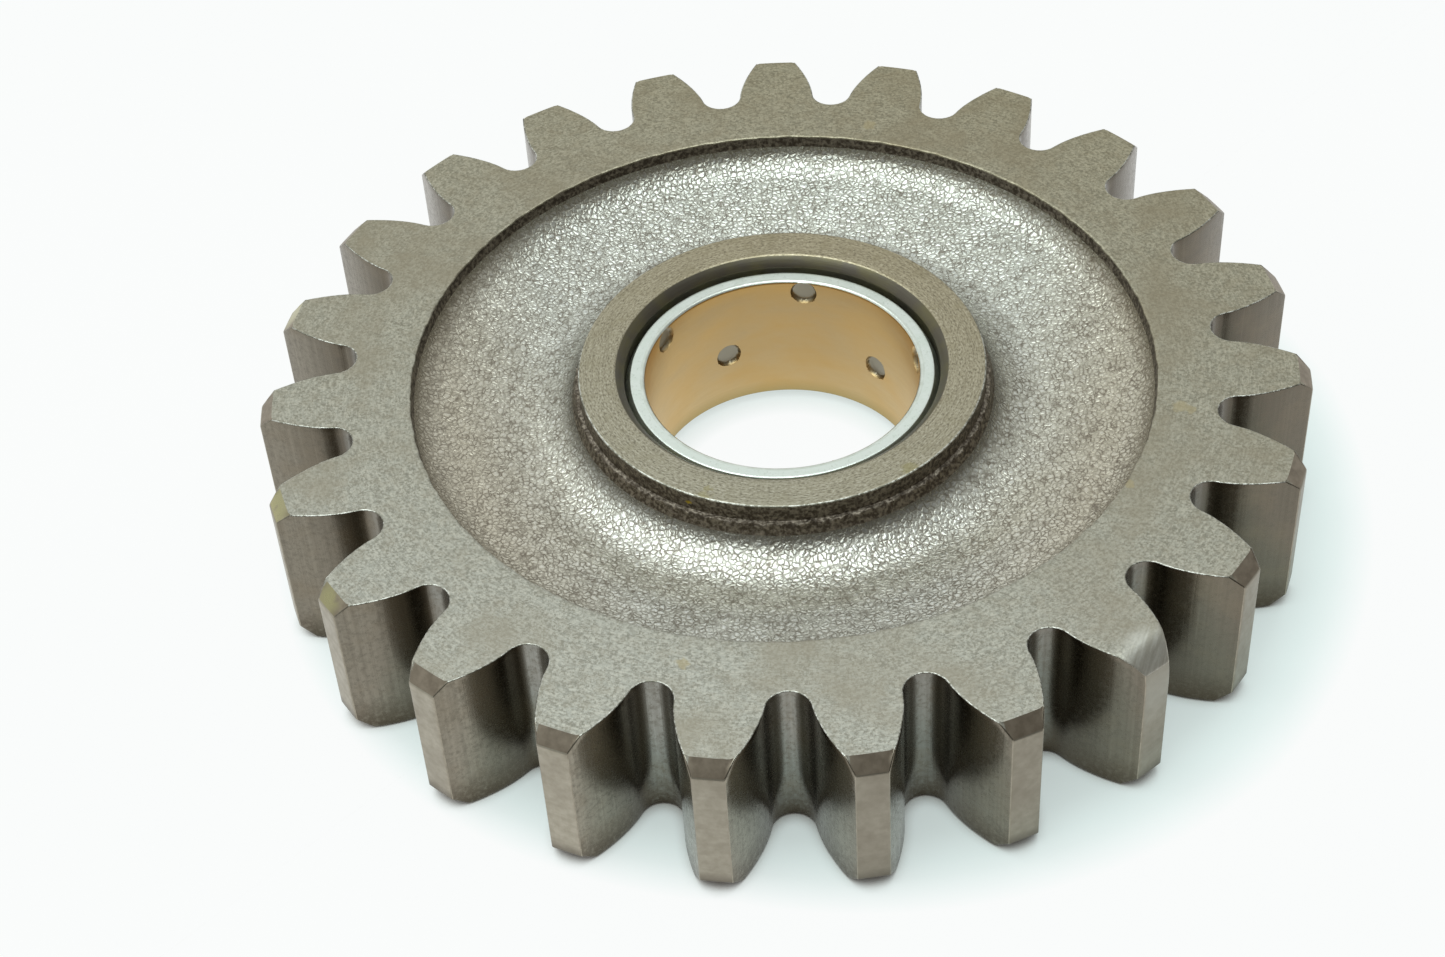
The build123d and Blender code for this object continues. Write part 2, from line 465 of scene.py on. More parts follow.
def spots(tree, place, centres_and_sizes, softness=0.25):
    """1 inside small blots with ragged outlines, and 0 elsewhere. Sizes are radii.

    Noise wanders each outline by up to 0.9 mm across and along, so the centres are moved
    by its mean.
    """
    wander = np.array([0.9, 0.9, 0.0])
    wobble = add_node(tree, "ShaderNodeTexNoise", {"Vector": place, "Scale": 2.2, "Detail": 3.0})
    ragged = add_node(tree, "ShaderNodeVectorMath", {
        0: wobble.outputs["Color"], 1: tuple(wander), 2: place}, operation="MULTIPLY_ADD")
    found = None
    for centre, size in centres_and_sizes:
        away = add_node(tree, "ShaderNodeVectorMath", {
            0: ragged.outputs["Vector"], 1: tuple(centre + wander / 2)}, operation="DISTANCE")
        inside = ramp(tree, away.outputs["Value"], size * (1 + softness), size * (1 - softness))
        found = inside if found is None else sums(tree, "MAXIMUM", found, inside)
    return found


def pebbled(tree, place, per_mm):
    """Distance from the crevices between pebbles, with so many pebbles a millimetre."""
    wobble = add_node(tree, "ShaderNodeTexNoise", {"Vector": place, "Scale": 2.6, "Detail": 2.0})
    shifted = add_node(tree, "ShaderNodeVectorMath", {
        0: wobble.outputs["Color"], 1: (0.4, 0.4, 0.4), 2: place}, operation="MULTIPLY_ADD")
    made = add_node(tree, "ShaderNodeTexVoronoi", {
        "Vector": shifted.outputs["Vector"], "Scale": per_mm}, feature="DISTANCE_TO_EDGE")
    return made.outputs["Distance"]


# Ground rim face: fine marks of the wheel that cross each other, a low mottle of lighter and browner
# patches, pale clouds of old oil and a few tan drops. Towards the back it is painted darker and browner:
# painted shade of the far side, with a browner tint. The worn corner of one tooth has pale scuffs that
# run across it.
ground_steel, tree, shader, place, surface = start_finish("ground_steel", 0.44)
ring_marks = grain(tree, stretched(tree, surface, (1.1, 6.5, 1)), 1.0, 3.0, 0.6)
slanting = add_node(tree, "ShaderNodeMapping", {"Vector": place, "Rotation": (0, 0, 0.6)})
cross_marks = grain(tree, stretched(tree, slanting.outputs["Vector"], (1.4, 6.0, 1)), 1.0, 2.0, 0.6)
flecks = grain(tree, place, 5.2, 3.0, 0.7)
patches = grain(tree, place, 0.85, 4.0, 0.65)
clouds = grain(tree, place, 0.12, 4.0, 0.6)
skin = mixed(tree, ramp(tree, flecks, 0.39, 0.58),
             colour(0.275, 0.262, 0.215), colour(0.55, 0.534, 0.46))
skin = mixed(tree, ramp(tree, ring_marks, 0.46, 0.62, 0.0, 0.50), skin, colour(0.255, 0.25, 0.21))
skin = mixed(tree, ramp(tree, cross_marks, 0.50, 0.36, 0.0, 0.30), skin, colour(0.50, 0.50, 0.445))
skin = mixed(tree, ramp(tree, patches, 0.50, 0.64, 0.0, 0.35), skin, colour(0.33, 0.30, 0.235))
skin = mixed(tree, ramp(tree, patches, 0.46, 0.32, 0.0, 0.3), skin, colour(0.45, 0.448, 0.392))
skin = mixed(tree, ramp(tree, clouds, 0.48, 0.66, 0.0, 0.6), skin, colour(0.34, 0.305, 0.235))
# Painted shade: darker and browner towards the back, the far side of the face
back_shade_and_tint = ramp(tree, toward(tree, place, (0.3, 0.95, 0)), -30.0, 36.0)
skin = mixed(tree, back_shade_and_tint, skin, colour(0.84, 0.775, 0.625), "MULTIPLY")
tan_drops = spots(tree, place, [
    ((-6.8, -28.7, 6.25), 0.42), ((28.0, -6.0, 6.25), 0.55), ((28.7, -6.3, 6.25), 0.42),
    ((23.6, -13.6, 6.25), 0.35), ((7.4, 28.1, 6.25), 0.5), ((-16.2, 24.5, -6.25), 0.5)])
skin = mixed(tree, sums(tree, "MULTIPLY", tan_drops, 0.6), skin, colour(0.43, 0.36, 0.21))
across_tip = add_node(tree, "ShaderNodeMapping", {"Vector": place, "Rotation": (0, 0, 0.35)})
scuffs = grain(tree, stretched(tree, across_tip.outputs["Vector"], (4.0, 0.4, 0.4)), 1.0, 3.0, 0.6)
scuffed = spots(tree, place, [((23.6, -28.9, 5.6), 2.1)], 0.35)
scuff_colour = mixed(tree, ramp(tree, scuffs, 0.38, 0.62),
                     colour(0.44, 0.42, 0.36), colour(0.60, 0.59, 0.53))
skin = mixed(tree, sums(tree, "MULTIPLY", scuffed, 0.8), skin, scuff_colour)
tree.links.new(skin, shader.inputs["Base Color"])
tree.links.new(ramp(tree, flecks, 0.3, 0.65, 0.50, 0.40), shader.inputs["Roughness"])
relief = raised(tree, shader, ring_marks, 0.006)
raised(tree, shader, cross_marks, 0.005, relief)

# Hobbed flanks and roots: smooth, so that they mirror the sheet and the next tooth, with faint streaks
# up the flank, darkest low down with old oil and painted shade near the sheet, and stained brown in
# places. Painted shade and reflection also make the inner flanks dark and the teeth on the right darker.
hobbed_steel, tree, shader, place, surface = start_finish("hobbed_steel", 0.24)
streaks = grain(tree, stretched(tree, surface, (3.2, 0.03, 1)), 1.0, 3.0, 0.6)
bands = grain(tree, stretched(tree, surface, (0.8, 0.01, 1)), 1.0, 1.0)
mottle = grain(tree, place, 2.8, 4.0, 0.65)
stains = grain(tree, place, 0.25, 4.0, 0.6)
radius = from_axis(tree, place)
# Dark on the inner flank, pale at the root and towards the tip: partly an oil stain, partly painted
# reflection and shade
skin = mixed(tree, ramp(tree, radius, 33.0, 36.4),
             colour(0.148, 0.130, 0.103), colour(0.305, 0.277, 0.220))
skin = mixed(tree, ramp(tree, radius, 32.1, 31.6), skin, colour(0.30, 0.30, 0.27))
# Painted shade: darker on the teeth to the right, and a little on those to the left
side_shade = sums(tree, "MAXIMUM", ramp(tree, toward(tree, place, (1, 0, 0)), -6.0, 32.0, 0.0, 0.64),
              ramp(tree, toward(tree, place, (-1, 0, 0)), 18.0, 28.0, 0.0, 0.24))
skin = mixed(tree, side_shade, skin, colour(0.097, 0.079, 0.060))
skin = mixed(tree, ramp(tree, streaks, 0.44, 0.64, 0.0, 0.3), skin, colour(0.125, 0.108, 0.083))
skin = mixed(tree, ramp(tree, streaks, 0.40, 0.30, 0.0, 0.2), skin, colour(0.36, 0.335, 0.27))
skin = mixed(tree, ramp(tree, bands, 0.45, 0.65, 0.0, 0.20), skin, colour(0.15, 0.14, 0.11))
skin = mixed(tree, ramp(tree, mottle, 0.46, 0.66, 0.0, 0.55), skin, colour(0.15, 0.135, 0.105))
skin = mixed(tree, ramp(tree, stains, 0.48, 0.66, 0.0, 0.45), skin, colour(0.21, 0.175, 0.125))
# Darker low down: partly a stain of old oil, partly painted shade near the sheet
height = toward(tree, place, (0, 0, 1))
foot_stain_and_shade = ramp(tree, mottle, 0.3, 0.5, 0.4, 1.0)
foot_stain_and_shade = sums(tree, "MULTIPLY", ramp(tree, height, -3.2, -5.9), foot_stain_and_shade)
skin = mixed(tree, foot_stain_and_shade, skin, colour(0.10, 0.08, 0.056))
yellow_dots = spots(tree, place, [((-27.0, -18.3, 0.0), 0.25), ((21.6, -24.6, 0.5), 0.22)])
skin = mixed(tree, yellow_dots, skin, colour(0.6, 0.45, 0.12))
tree.links.new(skin, shader.inputs["Base Color"])
roughness = ramp(tree, mottle, 0.4, 0.7, 0.0, 0.12)
roughness = sums(tree, "ADD", ramp(tree, streaks, 0.3, 0.7, 0.17, 0.25), roughness)
tree.links.new(roughness, shader.inputs["Roughness"])
relief = raised(tree, shader, streaks, 0.006)
raised(tree, shader, mottle, 0.005, relief)

# Turned tip lands: smooth and even, with a faint brown tint of handling. The land of the
# worn tooth is rubbed grey.
turned_lands, tree, shader, place, surface = start_finish("turned_lands", 0.42)
cuts = grain(tree, stretched(tree, surface, (0.1, 3.5, 1)), 1.0, 2.0)
mottle = grain(tree, place, 1.6, 3.0, 0.6)
low_wear = grain(tree, place, 0.3, 3.0)
skin = mixed(tree, ramp(tree, mottle, 0.35, 0.65),
             colour(0.38, 0.348, 0.275), colour(0.45, 0.416, 0.337))
skin = mixed(tree, ramp(tree, low_wear, 0.45, 0.65, 0.0, 0.45), skin, colour(0.28, 0.245, 0.19))
skin = mixed(tree, ramp(tree, cuts, 0.4, 0.7, 0.0, 0.14), skin, colour(0.26, 0.24, 0.19))
# Painted shade: the lands of the teeth to the right are darker
side_shade = ramp(tree, toward(tree, place, (1, 0, 0)), -14.0, 3.0, 0.0, 0.46)
skin = mixed(tree, side_shade, skin, colour(0.17, 0.152, 0.118))
rubbed = spots(tree, place, [((24.0, -29.5, 3.4), 2.4)], 0.6)
skin = mixed(tree, sums(tree, "MULTIPLY", rubbed, 0.75), skin, colour(0.345, 0.335, 0.285))
# Darker towards the bottom: partly a stain, partly painted shade near the sheet
height = toward(tree, place, (0, 0, 1))
skin = mixed(tree, ramp(tree, height, -4.3, -5.2, 0.0, 0.75), skin, colour(0.12, 0.10, 0.075))
tree.links.new(skin, shader.inputs["Base Color"])
tree.links.new(ramp(tree, mottle, 0.3, 0.7, 0.46, 0.38), shader.inputs["Roughness"])
raised(tree, shader, cuts, 0.003)

# Corners between flank and land: a pale beige line, partly wear and partly a painted edge highlight
corner_wear_and_glint, tree, shader, place, surface = start_finish("corner_wear_and_glint", 0.38)
patches = grain(tree, place, 1.3, 3.0, 0.6)
skin = mixed(tree, ramp(tree, patches, 0.35, 0.62),
             colour(0.285, 0.255, 0.20), colour(0.375, 0.34, 0.27))
tree.links.new(skin, shader.inputs["Base Color"])
raised(tree, shader, patches, 0.01)

# Chamfers of the teeth: browned, and under a film of olive oil on three of them. The lower ones are
# painted near black as painted shade.
browned_chamfer, tree, shader, place, surface = start_finish("browned_chamfer", 0.42)
mottle = grain(tree, place, 1.4, 3.0, 0.6)
skin = mixed(tree, ramp(tree, mottle, 0.35, 0.65),
             colour(0.25, 0.208, 0.157), colour(0.335, 0.283, 0.218))
film = add_node(tree, "ShaderNodeAttribute", attribute_name="oil_film").outputs["Fac"]
film = sums(tree, "MULTIPLY", film, ramp(tree, grain(tree, place, 0.9, 3.0), 0.25, 0.45))
skin = mixed(tree, film, skin, colour(0.43, 0.40, 0.215))
# Painted shade: the lower chamfers turn near black, as if in the shadow of the sheet
underside_shade = ramp(tree, toward(tree, place, (0, 0, 1)), -4.9, -5.3, 0.0, 0.85)
skin = mixed(tree, underside_shade, skin, colour(0.06, 0.05, 0.037))
tree.links.new(skin, shader.inputs["Base Color"])
tree.links.new(ramp(tree, film, 0.0, 1.0, 0.44, 0.26), shader.inputs["Roughness"])
raised(tree, shader, mottle, 0.006)

# Edges of the teeth and of the hub's end: a fine burr, bright only in short ragged runs; the bright runs
# are partly a painted highlight of the edges
burr_and_glint, tree, shader, place, surface = start_finish("burr_and_glint", 0.42)
patches = ramp(tree, grain(tree, place, 0.35), 0.3, 0.6, 0.8, 1.1)
patches = sums(tree, "MULTIPLY", grain(tree, place, 3.2, 3.0, 0.7), patches)
skin = mixed(tree, ramp(tree, patches, 0.42, 0.60), colour(0.20, 0.19, 0.15), colour(0.60, 0.59, 0.53))
tree.links.new(skin, shader.inputs["Base Color"])
raised(tree, shader, patches, 0.05)

# Forged web: a skin of small pebbles left by shot blasting, under a thin coat of oil, with fine brown
# crevices between them and tops painted pale as a painted highlight. It is browner at the rim. Painted
# shade makes it darker and browner at the sides, a little darker at the back and dark at the hub's foot,
# and painted light makes a lighter band on the near side.
forged_skin, tree, shader, place, surface = start_finish("forged_skin", 0.30, 0.85)
shader.inputs["Coat Weight"].default_value = 0.7
shader.inputs["Coat Roughness"].default_value = 0.2
from_crevice = pebbled(tree, place, 2.6)
caps = sums(tree, "POWER", ramp(tree, from_crevice, 0.0, 0.42), 0.6)
fine = grain(tree, place, 6.0, 3.0, 0.6)
heave = grain(tree, place, 1.1, 3.0)
tones = grain(tree, place, 0.35, 3.0)
skin = mixed(tree, ramp(tree, tones, 0.35, 0.65),
             colour(0.65, 0.635, 0.55), colour(0.755, 0.745, 0.66))
# Painted highlight: the tops of the pebbles are painted pale
cap_highlight = ramp(tree, from_crevice, 0.20, 0.42, 0.0, 0.5)
skin = mixed(tree, cap_highlight, skin, colour(0.90, 0.92, 0.90))
open_crevice = ramp(tree, grain(tree, place, 1.6, 2.0), 0.35, 0.6, 0.35, 1.0)
open_crevice = sums(tree, "MULTIPLY", ramp(tree, from_crevice, 0.21, 0.0), open_crevice)
skin = mixed(tree, open_crevice, skin, colour(0.165, 0.134, 0.097))
skin = mixed(tree, ramp(tree, fine, 0.50, 0.66, 0.0, 0.5), skin, colour(0.30, 0.275, 0.215))
radius = from_axis(tree, place)
# Painted shade: a little darker towards the back
back_shade_and_tint = ramp(tree, toward(tree, place, (0.3, 0.95, 0)), -16.0, 24.0)
skin = mixed(tree, back_shade_and_tint, skin, colour(0.895, 0.92, 0.925), "MULTIPLY")
# Painted light: lighter in a band on the near side, between the hub's foot and the rim
painted_light_band = sums(tree, "MULTIPLY", ramp(tree, radius, 18.0, 19.4), ramp(tree, radius, 22.2, 20.8))
painted_light_band = sums(tree, "MULTIPLY", painted_light_band, ramp(tree, toward(tree, place, (0.1, -1, 0)), 9.0, 16.0))
skin = mixed(tree, painted_light_band, skin, colour(1.15, 1.14, 1.11), "MULTIPLY")
skin = mixed(tree, ramp(tree, radius, 25.6, 26.8, 0.0, 0.5), skin, colour(0.27, 0.23, 0.16))
# Painted shade: darker and browner at the sides, and darker again on the left
sides_shade = sums(tree, "MAXIMUM", toward(tree, place, (1, -0.25, 0)), toward(tree, place, (-1, -0.25, 0)))
skin = mixed(tree, ramp(tree, sides_shade, 15.0, 24.0), skin, colour(0.88, 0.805, 0.715), "MULTIPLY")
left_shade = ramp(tree, toward(tree, place, (-1, 0.1, 0)), 16.0, 26.0, 0.0, 0.2)
skin = mixed(tree, left_shade, skin, colour(0.38, 0.345, 0.28))
# Dark at the foot of the hub: painted shade in the corner, partly dirt
skin = mixed(tree, ramp(tree, radius, 16.4, 15.5, 0.0, 0.8), skin, colour(0.13, 0.118, 0.092))
tree.links.new(skin, shader.inputs["Base Color"])
tree.links.new(ramp(tree, from_crevice, 0.0, 0.25, 0.44, 0.24), shader.inputs["Roughness"])
relief = raised(tree, shader, caps, 0.034)
relief = raised(tree, shader, heave, 0.024, relief)
relief = raised(tree, shader, fine, 0.014, relief)
tree.links.new(relief, shader.inputs["Coat Normal"])

# Torn walls: the dark, rough sides of the recess and of the hub. Their dark is partly scale and partly
# painted shade of the steep walls.
torn_wall, tree, shader, place, surface = start_finish("torn_wall", 0.5)
lumps = grain(tree, place, 3.4, 3.0, 0.6)
skin = mixed(tree, ramp(tree, lumps, 0.42, 0.62),
             colour(0.095, 0.076, 0.057), colour(0.30, 0.258, 0.205))
yellow_dots = spots(tree, place, [((-6.6, -13.2, 5.6), 0.2)])
skin = mixed(tree, yellow_dots, skin, colour(0.5, 0.36, 0.05))
tree.links.new(skin, shader.inputs["Base Color"])
raised(tree, shader, lumps, 0.09)

# Turned hub: fine rings round the axis on its end, broken into short dark and pale runs,
# with two oil smears
turned_hub, tree, shader, place, surface = start_finish("turned_hub", 0.40)
rings = grain(tree, stretched(tree, surface, (0.10, 5.0, 1)), 1.0, 3.0, 0.7)
flecks = grain(tree, stretched(tree, surface, (1.5, 8.0, 1)), 1.0, 2.5, 0.6)
blotches = grain(tree, place, 0.9, 3.0)
skin = mixed(tree, ramp(tree, rings, 0.36, 0.64), colour(0.33, 0.30, 0.225), colour(0.46, 0.426, 0.325))
skin = mixed(tree, ramp(tree, flecks, 0.48, 0.36, 0.0, 0.75), skin, colour(0.16, 0.14, 0.10))
skin = mixed(tree, ramp(tree, flecks, 0.54, 0.66, 0.0, 0.65), skin, colour(0.59, 0.565, 0.46))
skin = mixed(tree, ramp(tree, blotches, 0.5, 0.7, 0.0, 0.4), skin, colour(0.29, 0.26, 0.175))
# Yellower and a little darker towards the back
back_shade_and_tint = ramp(tree, toward(tree, place, (0.3, 0.95, 0)), -14.0, 14.0)
skin = mixed(tree, back_shade_and_tint, skin, colour(0.98, 0.92, 0.82), "MULTIPLY")
smears = spots(tree, place, [
    ((-5.6, -13.6, 6.4), 0.5), ((-5.3, -12.8, 6.4), 0.3),
    ((8.8, -11.6, 6.4), 0.6), ((9.2, -12.2, 6.4), 0.4)])
skin = mixed(tree, sums(tree, "MULTIPLY", smears, 0.5), skin, colour(0.33, 0.29, 0.13))
tree.links.new(skin, shader.inputs["Base Color"])
tree.links.new(ramp(tree, rings, 0.3, 0.7, 0.48, 0.36), shader.inputs["Roughness"])
relief = raised(tree, shader, rings, 0.012)
raised(tree, shader, flecks, 0.008, relief)

# Mouth and bore of the hub: smooth and dark, olive in places; the dark is painted shade in the mouth
shaded_mouth, tree, shader, place, surface = start_finish("shaded_mouth", 0.45)
blotches = grain(tree, place, 0.5, 3.0)
rings = grain(tree, stretched(tree, surface, (0.10, 5.0, 1)), 1.0, 3.0, 0.7)
skin = mixed(tree, ramp(tree, blotches, 0.40, 0.65),
             colour(0.145, 0.128, 0.10), colour(0.18, 0.16, 0.092))
skin = mixed(tree, ramp(tree, rings, 0.45, 0.65, 0.0, 0.4), skin, colour(0.175, 0.16, 0.127))
tree.links.new(skin, shader.inputs["Base Color"])
raised(tree, shader, rings, 0.01)

gear_finishes = [ground_steel, hobbed_steel, turned_lands, corner_wear_and_glint, browned_chamfer,
                 burr_and_glint, forged_skin, torn_wall, turned_hub, shaded_mouth]
GROUND, HOBBED, LAND, CORNER, CHAMFER, BURR_AND_GLINT, FORGED, TORN, HUB, MOUTH = range(len(gear_finishes))

# The surface of the gear: outer rows, inner rows, and the two joins between them, where
# one step of the inner part meets three of the outer part
outer_points = np.stack([outer_plan.real, outer_plan.imag, outer_height], axis=-1).reshape(-1, 3)
inner_points = np.stack([
    inner_radius * np.cos(inner_angle), inner_radius * np.sin(inner_angle), inner_height,
], axis=-1).reshape(-1, 3)
inner_count = columns // coarse
outer_rows, inner_rows = len(outer_plan), len(section)
inner_first = outer_rows * columns
outer_quads = grid_faces(outer_rows, columns)
inner_quads = grid_faces(inner_rows, inner_count, inner_first)
near = np.arange(inner_count)
fan = (coarse * near[:, None] + np.arange(coarse + 1)) % columns
upper_join = np.concatenate([
    (outer_rows - 1) * columns + fan,
    inner_first + (near[:, None] + 1) % inner_count, inner_first + near[:, None],
], axis=1)
last_inner = inner_first + (inner_rows - 1) * inner_count
lower_join = np.concatenate([
    fan[:, ::-1], last_inner + near[:, None], last_inner + (near[:, None] + 1) % inner_count,
], axis=1)

# Surface map: on the flat faces it runs along the circumference, as it is at the foot of the
# teeth, and along the radius, and on the flanks along the outline and up
map_radius = 33
step_length = np.abs(np.diff(np.append(outline, outline[0])))
along = np.concatenate([[0], np.cumsum(step_length)])
turned = np.append(uniform, uniform[0] + 2 * np.pi) - uniform[0]
u_wall = np.repeat(along[None, :], outer_rows, axis=0)
v_wall = np.append(outer_height, outer_height[:, :1], axis=1)
u_face = np.repeat(turned[None, :] * map_radius, outer_rows, axis=0)
v_face = np.abs(np.append(outer_plan, outer_plan[:, :1], axis=1))
row_number = np.arange(outer_rows - 1)
is_wall = (row_number >= face_rows) & (row_number < outer_rows - 1 - face_rows)
u_outer = np.where(is_wall[:, None, None], corner_values(u_wall), corner_values(u_face))
v_outer = np.where(is_wall[:, None, None], corner_values(v_wall), corner_values(v_face))
section_step = np.hypot(*np.diff(section, axis=0).T)
section_length = np.concatenate([[0], np.cumsum(section_step)])
turned_inner = np.append(inner_angle, inner_angle[0] + 2 * np.pi) - inner_angle[0]
u_inner = corner_values(np.repeat(turned_inner[None, :] * map_radius, inner_rows, axis=0))
v_inner = corner_values(np.repeat(section_length[:, None], inner_count + 1, axis=1))
join_u = turned[coarse * near[:, None] + np.arange(coarse + 1)] * map_radius
join_far = np.stack([join_u[:, -1], join_u[:, 0]], axis=1)
upper_u = np.concatenate([join_u, join_far], axis=1)
lower_u = np.concatenate([join_u[:, ::-1], join_far[:, ::-1]], axis=1)
join_v = np.repeat([[join_radius] * (coarse + 1) + [section[-1, 0]] * 2], inner_count, axis=0)
surface_map = np.concatenate([
    np.stack([u_outer, v_outer], axis=-1).reshape(-1, 2),
    np.stack([u_inner, v_inner], axis=-1).reshape(-1, 2),
    np.stack([upper_u, join_v], axis=-1).reshape(-1, 2),
    np.stack([lower_u, join_v], axis=-1).reshape(-1, 2),
])

# Which finish each face has
outline_radius = np.abs(outline)
mid_radius = (outline_radius + np.roll(outline_radius, -1)) / 2
face_mid_radius = np.abs(outer_plan[:-1] + outer_plan[1:]) / 2
outer_finish = np.full((outer_rows - 1, columns), GROUND)
outer_finish[face_mid_radius > tip_radius - tip_chamfer + 0.02] = CHAMFER
outer_finish[is_wall] = np.select(
    [mid_radius > tip_radius - 0.03, mid_radius > tip_radius - 0.2], [LAND, CORNER], HOBBED)
past_edge = np.minimum(row_number - face_rows, outer_rows - 2 - face_rows - row_number)
on_edge = (past_edge >= 0) & (past_edge <= 1)
outer_finish[on_edge] = np.where(mid_radius < tip_radius - tip_chamfer, BURR_AND_GLINT, outer_finish[on_edge])
worn_face = np.abs(np.angle((outer_plan[:-1] + outer_plan[1:]) / worn_tooth)) < half_pitch * 0.5
worn_face &= (face_mid_radius > worn_from + 0.2) & (outer_height[:-1] > 0) & (past_edge <= 1)[:, None]
outer_finish[worn_face] = GROUND
mid_r, mid_z = (section[:-1] + section[1:]).T / 2
mid_z = np.abs(mid_z)
inner_finish = np.select(
    [mid_r > rim_inner_radius - 0.01, (mid_r > rim_inner_radius - 0.16) & (mid_z > 5.3),
     mid_r > ledge_radius + 0.33, (mid_r > hub_radius - 0.04) & (mid_z < hub_face - 0.12),
     mid_r > hub_radius - 0.08, mid_r < bush_radius + mouth_chamfer - 0.03],
    [GROUND, TORN, FORGED, TORN, BURR_AND_GLINT, MOUTH], HUB)
gear_finish = np.concatenate([
    outer_finish.ravel(), np.repeat(inner_finish, inner_count), np.full(2 * inner_count, GROUND)])
gear_faces = (outer_quads.tolist() + inner_quads.tolist() + upper_join.tolist()
              + lower_join.tolist())
gear_points = np.concatenate([outer_points, inner_points])
gear = make_piece(
    "forged_gear", gear_points, gear_faces, gear_finish, gear_finishes, surface_map)
film_at = [((-35.8, -12.5, 5.6), 2.0), ((-36.6, 8.3, 5.6), 1.7), ((-30.6, -21.3, 5.6), 1.2)]
from_film = [np.linalg.norm(gear_points - centre, axis=1) / size for centre, size in film_at]
film = sum(np.exp(-(away**4)) for away in from_film)
gear.data.attributes.new("oil_film", "FLOAT", "POINT").data.foreach_set("value", film.astype(np.float32))
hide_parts("gear_body")
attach(gear, "root")

# The bush's steel shell: a rolled steel tube, ground outside and flashed with bright tin,
# pressed into the hub and left a little below its end on both faces.

bush_top = 5.52
bush_bottom = -5.68
lining_radius = 10.35
shell_columns = 256


def turned_surface(section_points, across):
    """A closed section of radius and height pairs, carried round the axis in equal steps."""
    angle = 2 * np.pi * np.arange(across) / across
    radius = section_points[:, :1]
    height = np.repeat(section_points[:, 1:], across, axis=1)
    return np.stack([radius * np.cos(angle), radius * np.sin(angle), height], axis=-1).reshape(-1, 3)


shell_end = np.array([
    (lining_radius, bush_top), (10.6, bush_top), (10.9, bush_top), (11.02, bush_top),
    (11.07, bush_top - 0.02), (11.10, bush_top - 0.07), (11.30, bush_top - 0.43),
    (11.47, bush_top - 0.75), (11.5, bush_top - 0.83), (11.5, bush_top - 1.2), (11.5, bush_top - 3.0),
])
middle_height = (bush_top + bush_bottom) / 2
shell_section = np.concatenate([shell_end, (shell_end * [1, -1] + [0, 2 * middle_height])[::-1]])
shell_section = np.concatenate([shell_section, shell_section[:1]])[::-1]
shell_points = turned_surface(shell_section[:-1], shell_columns)
shell_quads = grid_faces(len(shell_section), shell_columns) % len(shell_points)
tin_flash, tree, shader, place, surface = start_finish("tin_flash", 0.34)
wipes = grain(tree, place, 0.9, 3.0)
specks = grain(tree, place, 5.0, 2.0)
skin = mixed(tree, ramp(tree, wipes, 0.35, 0.7), colour(0.74, 0.79, 0.72), colour(0.86, 0.91, 0.85))
skin = mixed(tree, ramp(tree, specks, 0.3, 0.42, 0.3, 0.0), skin, colour(0.45, 0.5, 0.42))
tree.links.new(skin, shader.inputs["Base Color"])
tree.links.new(ramp(tree, wipes, 0.3, 0.7, 0.42, 0.28), shader.inputs["Roughness"])
raised(tree, shader, specks, 0.01)
shell = make_piece("bush_shell_plated", shell_points, shell_quads.tolist(),
                   np.zeros(len(shell_quads)), [tin_flash])
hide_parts("bush_shell")
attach(shell, "root")

# The bush's bronze lining: a thin layer bonded to the shell and bored to size, with ten
# round pockets that hold oil, in two rows that are staggered by half a pitch.

bore_radius = 10.0
bore_edge_break = 0.15
pocket_radius = 1.0
pocket_depth = 0.30
pocket_round = 0.28
pocket_pitch = 69.4
first_pocket = 10.6
upper_row, lower_row = 4.47, -0.93
lining_columns, lining_steps = 560, 96
pocket_angle = np.radians(first_pocket + pocket_pitch * np.arange(5))
pocket_angle = np.concatenate([pocket_angle, pocket_angle - np.radians(pocket_pitch / 2)])
pocket_height = np.repeat([upper_row, lower_row], 5)

bore_angle, bore_height = np.meshgrid(
    2 * np.pi * np.arange(lining_columns) / lining_columns,
    np.linspace(bush_top - bore_edge_break, bush_bottom + bore_edge_break, lining_steps))


def to_nearest_pocket(angle, height):
    """Steps along the circumference and up from the nearest pocket's centre."""
    turn = (angle[..., None] - pocket_angle + np.pi) % (2 * np.pi) - np.pi
    across = bore_radius * turn
    up = height[..., None] - pocket_height
    nearest = np.argmin(np.hypot(across, up), axis=-1)[..., None]
    return np.take_along_axis(across, nearest, -1)[..., 0], np.take_along_axis(up, nearest, -1)[..., 0]


# Grid points close to a pocket's edge are moved onto it, so that the edge is a clean circle
moved_within = 0.062
across, up = to_nearest_pocket(bore_angle, bore_height)
distance = np.hypot(across, up)
near_edge = np.abs(distance - pocket_radius) < moved_within
pull = np.where(near_edge, pocket_radius / distance - 1, 0)
bore_angle = bore_angle + across * pull / bore_radius
bore_height = bore_height + up * pull
distance = distance * (1 + pull)
depth = np.clip((pocket_radius - distance) / pocket_round, 0, 1)
depth = pocket_depth * np.sqrt(1 - (1 - depth) ** 2)
bore_surface = np.stack([
    (bore_radius + depth) * np.cos(bore_angle), (bore_radius + depth) * np.sin(bore_angle),
    bore_height], axis=-1).reshape(-1, 3)

